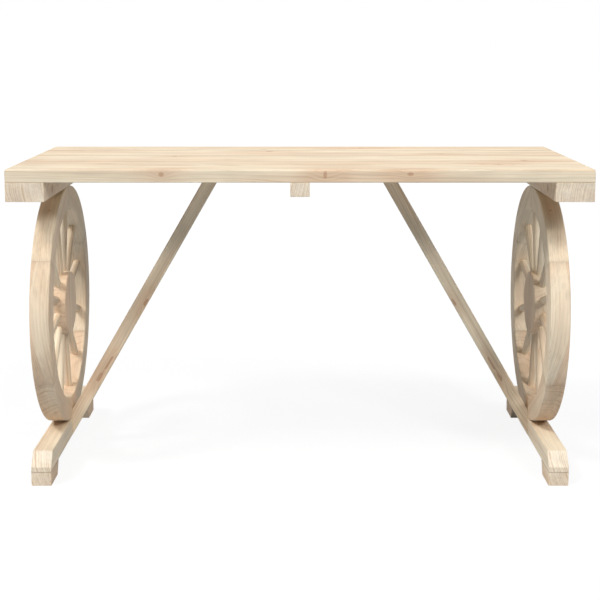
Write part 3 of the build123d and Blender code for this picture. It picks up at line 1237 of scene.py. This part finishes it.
@dataclass
class Wheel:
    """A wheel of six felloes, twelve round spokes and a turned hub."""

    side: str
    sign: float
    rim_depth: float = 49 * MM
    rim_round: float = 2.5 * MM
    spoke_radius: float = 8 * MM
    hub_round: float = 2.5 * MM
    spoke_count: int = 12
    spokes_per_felloe: int = 2
    hub_socket: float = 28 * MM
    rim_socket: float = 19 * MM
    glue_shade: float = 0.13
    glue_width: float = 8 * MM
    pin_diameter: float = 10 * MM
    pin_length: float = 50 * MM
    pin_chamfer: float = 1.5 * MM
    pin_flute: float = 0.4 * MM
    pin_inset: float = 33 * MM
    heart_radius: float = 97.5 * MM

    def __post_init__(self) -> None:
        """Reads the wheel's place and sizes from the frame."""
        hub = box_of("hub_" + self.side)
        self.felloe_count = self.spoke_count // self.spokes_per_felloe
        self.arc = FULL_TURN / self.felloe_count
        boxes = [box_of(f"felloe_{number + 1}_{self.side}") for number in range(self.felloe_count)]
        self.centre = hub.middle
        self.thickness = hub.size[0]
        self.hub_radius = hub.size[1] / 2
        self.radius = max(box.high[1] for box in boxes) - self.centre[1]
        self.floor = min(box.low[2] for box in boxes)
        self.ceiling = max(box.high[2] for box in boxes)
        self.seed = 20 if self.sign > 0 else 0

    def felloe(self, number: int) -> None:
        """Builds one felloe: a section of the rim, sawn from a straight board.

        Its point is the wheel's centre plus a radius times the cosine and sine of the
        distance along the middle of the rim over that middle's radius, and it is cut
        off flat where it stands on the foot and under the rail.

        Args:
            number: Its number, from 1.
        """
        node = f"felloe_{number}_{self.side}"
        angle = self.arc / 2 + (number - 1) * self.arc + self.arc / 2
        middle_radius = self.radius - self.rim_depth / 2
        outline = rounded_outline(self.thickness, self.rim_depth, (self.rim_round,) * 4)
        half = self.arc * middle_radius / 2

        def place(along: Array, across: Array, up: Array) -> Array:
            """Bends the felloe round the wheel."""
            turn = angle + along / middle_radius
            reach = middle_radius + up
            y = self.centre[1] + reach * np.cos(turn)
            z = np.clip(self.centre[2] + reach * np.sin(turn), self.floor, self.ceiling)
            return np.stack((self.centre[0] + across, y, z), -1)

        piece = lofted(node + "_rim", Bar(outline, -half, half, spacing=6 * MM), place)
        outward, onward = round_wheel(angle)
        board = Frame(self.centre + outward * middle_radius, np.stack((onward, X_AXIS, outward)))
        grow(piece, board, self.felloe_growth(10 + number + self.seed, angle))
        self.mark_joints(piece, angle)
        dress(piece, WHEEL_WOOD, node)

    def felloe_growth(self, seed: int, angle: float) -> Growth:
        """How a felloe was cut: flat-sawn below, with heartwood on its outer side.

        Args:
            seed: Its seed.
            angle: The place of its middle on the wheel.

        Returns:
            Its growth.
        """
        cut = np.random.default_rng(seed).uniform(-1, 1, 3)
        if math.sin(angle) < -0.1:
            pith = (0.02 * cut[0], 0.16 + 0.03 * cut[1])
            return Growth(seed, pith, 0.95, redder=22 * self.sign)
        if math.cos(angle) < -0.9:
            lean = (-0.06 * self.sign, 0.0)
            return Growth(seed, (0.1 * self.sign, -0.03), 0.3, lean=lean, heart=self.heart_radius)
        knots = ()
        if math.sin(angle) > 0.1 and math.cos(angle) < 0:
            knots = (Knot((0.004, -0.003 * self.sign, 0.0), 2.6 * MM),)
        return Growth(seed, (0.1 + 0.03 * cut[0], 0.03 * cut[1]), 0.04 + 0.1 * cut[2], knots)

    def mark_joints(self, piece: Piece, angle: float) -> None:
        """Darkens a felloe a little at its ends, where the glue soaked in.

        The mark fades evenly with the distance from the nearer end along the rim.

        Args:
            piece: The felloe.
            angle: The place of its middle on the wheel.
        """
        _, y, z = (points_of(piece.data) - self.centre).T
        turn = np.abs((np.arctan2(z, y) - angle + math.pi) % FULL_TURN - math.pi)
        left = (self.arc / 2 - turn) * self.radius
        store(piece.data, "groove", self.glue_shade * np.clip(1 - left / self.glue_width, 0, 1))

    def spoke(self, number: int) -> None:
        """Builds one spoke, a dowel from its socket in the hub into the rim.

        Args:
            number: Its number, from 1.
        """
        node = f"spoke_{number}_{self.side}"
        outward, onward = round_wheel(FULL_TURN * (number - 0.5) / self.spoke_count)
        dowel = Frame(self.centre, np.stack((outward, X_AXIS, onward)))
        first = self.hub_radius - self.hub_socket
        last = self.radius - self.rim_depth + self.rim_socket
        bar = Bar(round_outline(self.spoke_radius, 28), first, last)
        piece = lofted(node + "_dowel", bar, dowel.place)
        seed = 40 + number + self.seed
        cut = np.random.default_rng(seed).uniform(-1, 1, 3)
        pith = (0.04 * cut[0], 0.05 + 0.02 * cut[1])
        grow(piece, dowel, Growth(seed, pith, 0.1 + 0.15 * cut[2]))
        dress(piece, WHEEL_WOOD, node)

    def hub(self) -> None:
        """Builds the hub, a disc with rounded edges turned from a thick board."""
        node, half = f"hub_{self.side}", self.thickness / 2
        outline = round_outline(self.hub_radius, 96)
        bar = Bar(outline, -half, half, end_round=self.hub_round, spacing=8 * MM)
        disc = Frame(self.centre, np.stack((X_AXIS, Y_AXIS, Z_AXIS)))
        piece = lofted(node + "_disc", bar, disc.place)
        # The left hub's darker tone is painted shade, set against the stronger lamps that reach
        # it.
        seed, tone = (35, 0.45) if self.sign > 0 else (36, 0.8)
        board = Frame(self.centre, np.stack((Z_AXIS, Y_AXIS, X_AXIS)))
        grow(piece, board, Growth(seed, (0.11, -0.02), tone))
        piece.data.attributes["end"].data.foreach_set("value", np.zeros(len(piece.data.vertices)))
        dress(piece, WHEEL_WOOD, node)

    def build(self) -> None:
        """Builds every piece of the wheel but its pins."""
        for number in range(self.felloe_count):
            self.felloe(number + 1)
        for number in range(self.spoke_count):
            self.spoke(number + 1)
        self.hub()

    def pins(self) -> list[Piece]:
        """The fluted pins across the joints between the felloes.

        Returns:
            A pin for each joint, without its finish.
        """
        half, chamfer, radius = self.pin_length / 2, self.pin_chamfer, self.pin_diameter / 2
        places = (-half, -half, chamfer - half, 0.0, half - chamfer, half, half)
        radii = (0.0, radius - chamfer, radius, radius, radius, radius - chamfer, 0.0)
        form = Turned(places, radii, around=96, flutes=16, flute_depth=self.pin_flute)
        pins = []
        for number in range(self.felloe_count):
            outward, onward = round_wheel(FULL_TURN * (number + 0.5) / self.felloe_count)
            middle = self.centre + outward * (self.radius - self.pin_inset)
            dowel = Frame(middle, np.stack((onward, X_AXIS, outward)))
            pins.append(lofted("pin", form, dowel.place))
            grow(pins[-1], dowel, Growth(80 + number, (0.04, 0.02), 0.4))
        return pins


# ---- feet and braces
@dataclass
class Foot:
    """The beam under a wheel, the pads under its ends and the brace to the top."""

    side: str
    sign: float
    screws: Sequence[Screw]
    arris: float = 0.7 * MM
    end_height: float = 10 * MM
    end_slope: float = 23 * MM
    seam_shade: float = 0.7
    seam_width: float = 1 * MM

    def beam(self) -> None:
        """Builds the beam, whose top slopes down to both ends."""
        node = "foot_beam_" + self.side
        box = box_of(node)
        slope = End(EndShape.SLOPED, self.end_slope, box.size[2] - self.end_height)
        piece = crosswise(node, self.screws, slope)
        self.paint_seam_shade(piece, box.low[2])
        dress(piece, FRAME_WOOD, node)

    def paint_seam_shade(self, piece: Piece, level: float) -> None:
        """Paints shade on a piece along the seam between the beam and a pad, as the crease there
        is in shade.

        The mark fades evenly with the height above or below the seam.

        Args:
            piece: The beam or the pad.
            level: The height of the seam.
        """
        _, y, z = points_of(piece.data).T
        inner_end = box_of("foot_pad_rear_" + self.side).low[1]
        # Painted shade along the crease where a pad meets the beam.
        near = np.clip(1 - np.abs(z - level) / self.seam_width, 0, 1) * (np.abs(y) > inner_end)
        store(piece.data, "groove", self.seam_shade * near)

    def pad(self, end: str) -> None:
        """Builds one pad, upright at its outer end and slanted at its inner one.

        Args:
            end: The end of the beam, front or rear.
        """
        node = f"foot_pad_{end}_{self.side}"
        box = box_of(node)
        inwards = Y_AXIS if end == "front" else -Y_AXIS
        block = Frame(box.middle, np.stack((inwards, X_AXIS, Z_AXIS)))
        outline = rounded_outline(box.size[0], box.size[2], (self.arris,) * 4)
        lean = (box.size[1] - PAD_FLOOR_LENGTH) / box.size[2]
        bar = Bar(outline, -box.size[1] / 2, PAD_FLOOR_LENGTH / 2, stop_slant=(0.0, lean))
        piece = lofted(node + "_block", bar, block.place)
        drill(piece, [screw for screw in self.screws if screw.holder == node])
        grow(piece, block, GROWTHS[node])
        self.paint_seam_shade(piece, box.high[2])
        dress(piece, FRAME_WOOD, node)

    def brace(self) -> None:
        """Builds the brace, cut level under the top and upright against the foot."""
        node = "brace_" + self.side
        box = box_of(node)
        rise, run = math.sin(BRACE_ANGLE), math.cos(BRACE_ANGLE)
        head_x = box.near + BRACE_THICKNESS / rise / 2
        head = np.array((self.sign * head_x, box.middle[1], box.high[2]))
        length = (box.far - head_x) / run
        down = np.array((self.sign * run, 0.0, -rise))
        upper = np.array((self.sign * rise, 0.0, run))
        axes = np.stack((down, Y_AXIS, upper))
        outline = rounded_outline(box.size[1], BRACE_THICKNESS, (TIMBER_ROUND,) * 4)
        level, upright = (0.0, run / rise), (0.0, -rise / run)
        bar = Bar(outline, 0.0, length, start_slant=level, stop_slant=upright)
        piece = lofted(node + "_timber", bar, Frame(head, axes).place)
        drill(piece, [screw for screw in self.screws if screw.holder == node])
        front, edge = -box.size[1] / 2, 9 * MM
        knots = (
            Knot((0.28 * length, front, -edge / 2), 2.2 * MM, (1.0, 0.0, 0.02), 34 * MM),
            Knot((0.315 * length, front, -edge / 3), 4 * MM, (1.0, 0.0, 0.0), 8 * MM),
            Knot((0.01 * length, front, -edge), 3 * MM, (1.0, 0.0, 0.0), 6 * MM),
        )
        growth = Growth(76 if self.sign > 0 else 77, (0.05, 0.05), 0.1, knots)
        grow(piece, Frame(head + down * length / 2, axes), growth)
        dress(piece, FRAME_WOOD, node)

    def build(self) -> None:
        """Builds the beam, its two pads and the brace."""
        self.beam()
        self.pad("front")
        self.pad("rear")
        self.brace()


# ---- fasteners
@dataclass
class Fasteners:
    """The screws, and the pins of the wheels."""

    screws: Sequence[Screw]
    wheels: Sequence[Wheel]

    def build(self) -> None:
        """Builds each group of screws, each screw turned as chance left it, and the pins."""
        chance = np.random.default_rng(5)
        for group in ScrewGroup:
            chosen = [screw for screw in self.screws if screw.group is group]
            turns = chance.uniform(0, FULL_TURN, len(chosen))
            loose = [
                lofted("screw", ScrewForm(screw.length), screw.frame(turn).place)
                for screw, turn in zip(chosen, turns)
            ]
            piece = joined(group.value.replace("_", "_steel_"), loose)
            piece.data.set_sharp_from_angle(angle=math.radians(40))
            dress(piece, STEEL, group.value)
        pins = joined("felloe_pin_dowels", [pin for wheel in self.wheels for pin in wheel.pins()])
        dress(pins, WHEEL_WOOD, "felloe_pins")


# ---- studio
@dataclass(frozen=True)
class Lamp:
    """A soft distant lamp.

    azimuth is its place in degrees from the front, towards the right, elevation is
    above the floor, share is the light that it gives a surface square to it, where 1
    shows a colour as it is written, and spread the angle that it seems to cover.
    """

    name: str
    azimuth: float
    elevation: float
    share: float
    spread: float = 12.0

    def light(self) -> None:
        """Adds the lamp to the scene."""
        data = bpy.data.lights.new(self.name, "SUN")
        data.energy = self.share * math.pi
        data.angle = math.radians(self.spread)
        turn = (math.radians(90 - self.elevation), 0.0, math.radians(self.azimuth))
        linked(self.name, data).rotation_euler = turn


@dataclass
class Studio:
    """Camera, lamps, floor and surroundings."""

    camera_distance: float = 2.8486
    camera_height: float = 0.8926
    camera_tilt: float = 7.912
    focal_pixels: float = 1330.3
    image_pixels: float = 600.0
    sensor: float = 36.0
    shift: float = -0.13
    lamps: tuple[Lamp, ...] = (
        Lamp("key_left", -55.0, 49.0, 0.43),
        Lamp("high_left", -55.0, 65.0, 0.08),
        Lamp("inner_left", -35.0, 50.0, 0.10),
        Lamp("side_left", -90.0, 50.0, 0.09, 20.0),
        Lamp("low_left", -90.0, 10.0, 0.15, 20.0),
        Lamp("key_right", 25.0, 50.0, 0.12),
        Lamp("low_right", 25.0, 32.0, 0.35),
        Lamp("outer_right", 45.0, 35.0, 0.06),
        Lamp("side_right", 90.0, 30.0, 0.10, 20.0),
        Lamp("overhead", 180.0, 75.0, 0.07, 25.0),
    )
    ambient: float = 0.06
    ambient_colour: Colour = (0.72, 1.0, 1.3)
    floor_size: float = 30.0
    floor_glow: float = 0.88
    floor_seen: Colour = (0.14, 0.14, 0.14)
    floor_bounce: Colour = (0.44, 0.475, 0.515)

    def camera(self) -> None:
        """Sets up the camera, level sideways and tilted down a little."""
        data = bpy.data.cameras.new("camera")
        data.sensor_width = self.sensor
        data.lens = self.focal_pixels / self.image_pixels * self.sensor
        data.shift_y = self.shift
        camera = linked("camera", data)
        camera.location = (0.0, -self.camera_distance, self.camera_height)
        camera.rotation_euler = (math.radians(90 - self.camera_tilt), 0.0, 0.0)
        bpy.context.scene.camera = camera

    def surroundings(self) -> None:
        """A white background for the camera and for reflections, a dimmer light for the rest."""
        graph = Graph(bpy.data.worlds.new("studio"))
        bpy.context.scene.world = graph.owner
        ambient = graph.nodes["Background"]
        graph.fill(ambient, {"Color": (*self.ambient_colour, 1.0), "Strength": self.ambient})
        white = graph.add("Background", {"Color": (1.0, 1.0, 1.0, 1.0)})
        graph.show("World Output", ambient, white)

    def floor(self) -> None:
        """A pale floor that is almost white to the camera and keeps a faint shadow."""
        mesh = bpy.data.meshes.new("floor")
        corners = np.array(((-1, -1, 0), (1, -1, 0), (1, 1, 0), (-1, 1, 0))) * self.floor_size
        mesh.from_pydata(corners.tolist(), [], ((0, 1, 2, 3),))
        linked("floor", mesh)
        graph = Graph(bpy.data.materials.new("floor"))
        mesh.materials.append(graph.owner)
        plain = graph.nodes["Principled BSDF"]
        matt = {"Roughness": 0.9, "Specular IOR Level": 0.0}
        graph.fill(plain, {"Base Color": (*self.floor_bounce, 1.0), **matt})
        shade = graph.add("BsdfDiffuse", {"Color": (*self.floor_seen, 1.0)})
        glow = graph.add("Emission", {"Strength": self.floor_glow})
        both = graph.add("AddShader", {0: shade.outputs[0], 1: glow.outputs[0]})
        graph.show("Material Output", plain, both)

    def build(self) -> None:
        """Builds the camera, the lamps, the floor and the surroundings."""
        self.camera()
        for lamp in self.lamps:
            lamp.light()
        self.surroundings()
        self.floor()
        bpy.context.scene.view_settings.view_transform = "Standard"
        log.info("studio ready")


def main() -> None:
    """Builds the studio and dresses the table, piece by piece."""
    logging.basicConfig(level=logging.INFO, format="%(name)s: %(message)s")
    Studio().build()
    screws = ScrewPlan().every()
    Top(screws).build()
    wheels = [Wheel(side, sign) for side, sign in SIDES]
    for wheel in wheels:
        wheel.build()
        Foot(wheel.side, wheel.sign, screws).build()
    Fasteners(screws, wheels).build()


if __name__ == "__main__":
    main()
